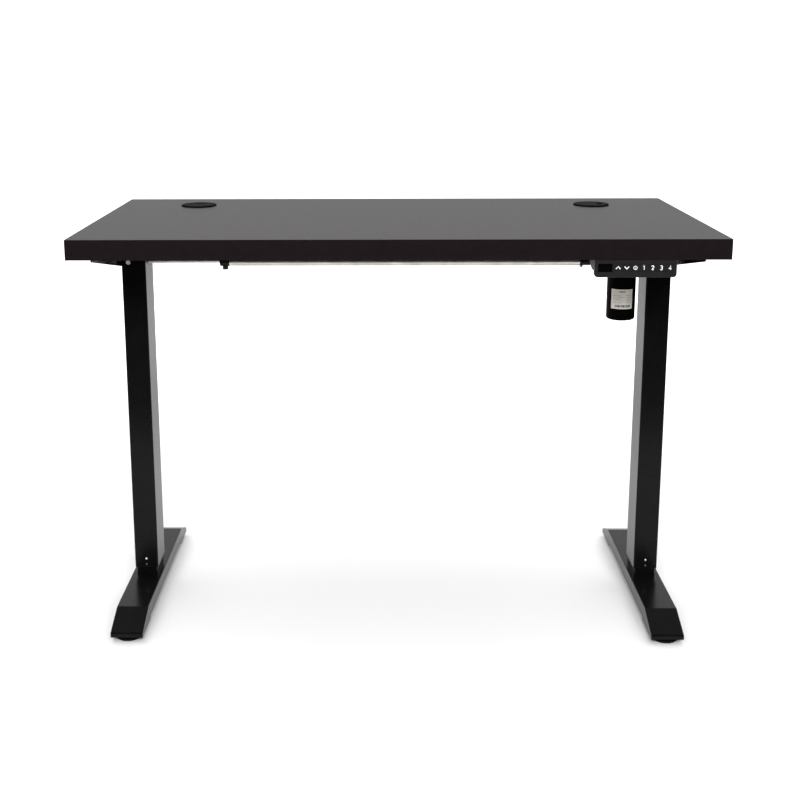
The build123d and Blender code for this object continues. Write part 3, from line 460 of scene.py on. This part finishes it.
def join_meshes(name, meshes):
    """One mesh from several, which are used up."""
    whole = bmesh.new()
    for mesh in meshes:
        whole.from_mesh(mesh)
        bpy.data.meshes.remove(mesh)
    merged = bpy.data.meshes.new(name)
    whole.to_mesh(merged)
    whole.free()
    return merged


# The sticker: its sides in degrees, and its lower and upper edges in metres from the motor's top. Then, in
# millimetres, the paper's thickness, the ink's height above the can and the ink's thickness.
LABEL_ANGLES = (-52.0, 39.0)
LABEL_Z = (-0.0670, -0.0255)
PAPER_THICK = 0.15
INK_LIFT = 0.14
INK_THICK = 0.05

# Bars on the sticker: angles in degrees, levels as a share of its height, heights in mm.
HEADING = ((-18, 6), 0.86, 1.8)
BLOCK_COUNT = 10
BLOCK_START = -34
BLOCK_PITCH = 6.5
BLOCK_WIDTHS = (3.4, 4.6, 4.6)
BLOCK_LEVEL = 0.085
BLOCK_HEIGHT = 5.0
LINE_START = -42
LINE_WIDTHS = (36, 44, 30, 40, 34)
LINE_LEVEL = 0.30
LINE_STEP = 0.09
LINE_HEIGHT = 1.1
SHORT_LINE = (10, 30)
SHORT_LINE_COUNT = 4
SHORT_LINE_LEVEL = 0.32
SHORT_LINE_STEP = 0.12
SHORT_LINE_HEIGHT = 1.0


def make_motor_label():
    """Plain rating sticker on the motor, with bars in place of print."""
    low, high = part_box("motor_can")
    centre = (low + high) / 2
    r = (high.x - low.x) / 2
    z0, z1 = (high.z + z for z in LABEL_Z)
    paper = curved_patch("motor_label", centre, r, PAPER_THICK * MM, LABEL_ANGLES, z0, z1, 24)
    add_piece("motor_label", paper, PAPER, "top")

    def bar(sides, level, thickness):
        z = z0 + (z1 - z0) * level
        return curved_patch("bar", centre, r + INK_LIFT * MM, INK_THICK * MM, sides, z, z + thickness * MM, 6)

    blocks = [bar(*HEADING)]
    for i in range(BLOCK_COUNT):
        left = BLOCK_START + BLOCK_PITCH * i
        right = left + BLOCK_WIDTHS[i % len(BLOCK_WIDTHS)]
        blocks.append(bar((left, right), BLOCK_LEVEL, BLOCK_HEIGHT))
    add_piece("motor_label_blocks", join_meshes("motor_label_blocks", blocks), INK_GREY, "top")

    lines = []
    for i, width in enumerate(LINE_WIDTHS):
        lines.append(bar((LINE_START, LINE_START + width), LINE_LEVEL + LINE_STEP * i, LINE_HEIGHT))
    for i in range(SHORT_LINE_COUNT):
        lines.append(bar(SHORT_LINE, SHORT_LINE_LEVEL + SHORT_LINE_STEP * i, SHORT_LINE_HEIGHT))
    add_piece("motor_label_lines", join_meshes("motor_label_lines", lines), INK_PALE, "top")


PAD_RIB_COUNT = 40
PAD_RIB_HALF_ANGLE = 2
PAD_RIB_SUNK = 0.2 * MM
PAD_RIB_THICK = 0.6 * MM
PAD_RIB_Z = (1.7 * MM, 3.8 * MM)


def pad_rib(centre, r, index):
    angle = 360 * index / PAD_RIB_COUNT
    sides = (angle - PAD_RIB_HALF_ANGLE, angle + PAD_RIB_HALF_ANGLE)
    return curved_patch("rib", centre, r - PAD_RIB_SUNK, PAD_RIB_THICK, sides, *PAD_RIB_Z, 2)


def make_pad_ribs():
    """Ring of grip ribs round each levelling pad."""
    for end in ("front", "rear"):
        for side in ("left", "right"):
            low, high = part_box(f"levelling_foot_{end}_{side}")
            centre = (low + high) / 2
            r = (high.x - low.x) / 2
            name = f"pad_ribs_{end}_{side}"
            ribs = join_meshes(name, [pad_rib(centre, r, i) for i in range(PAD_RIB_COUNT)])
            add_piece(name, ribs, LOOKS["pad_black"], f"leveller_{end}_{side}")


def slab(low, high, radius, steps):
    """Rounded block between two corners, as a mesh."""
    body = bmesh.new()
    bmesh.ops.create_cube(body, size=1.0)
    centre = (Vector(low) + Vector(high)) / 2
    size = Vector(high) - Vector(low)
    for vertex in body.verts:
        vertex.co = Vector([c * s for c, s in zip(vertex.co, size)]) + centre
    bmesh.ops.bevel(body, geom=body.edges[:], offset=radius, segments=steps, affect="EDGES", profile=0.5)
    mesh = bpy.data.meshes.new("slab")
    body.to_mesh(mesh)
    body.free()
    return mesh


VENT_RIB_COUNT = 14
VENT_START = 60 * MM
VENT_PITCH = 9 * MM
VENT_RIB_WIDTH = 4 * MM
VENT_INSET_Y = 22 * MM
VENT_DROP = 1.2 * MM
VENT_SUNK = 0.5 * MM
VENT_ROUND = 0.5 * MM


def make_box_ribs():
    """Vent ribs under the control box's lid."""
    low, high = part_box("control_box_lid")
    ribs = []
    for i in range(VENT_RIB_COUNT):
        x = low.x + VENT_START + VENT_PITCH * i
        corner = (x, low.y + VENT_INSET_Y, low.z - VENT_DROP)
        opposite = (x + VENT_RIB_WIDTH, high.y - VENT_INSET_Y, low.z + VENT_SUNK)
        ribs.append(slab(corner, opposite, VENT_ROUND, 2))
    whole = join_meshes("box_vent_ribs", ribs)
    add_piece("box_vent_ribs", whole, LOOKS["moulded_black"], "top")


make_camera()
make_world()
make_floor()
area_light("ceiling", CEILING_AT, CEILING_AIM, CEILING_SIZE, CEILING_WATTS)
area_light("front", FRONT_AT, FRONT_AIM, FRONT_SIZE, FRONT_WATTS)
dress_nodes()
make_glyphs()
make_motor_label()
make_pad_ribs()
make_box_ribs()
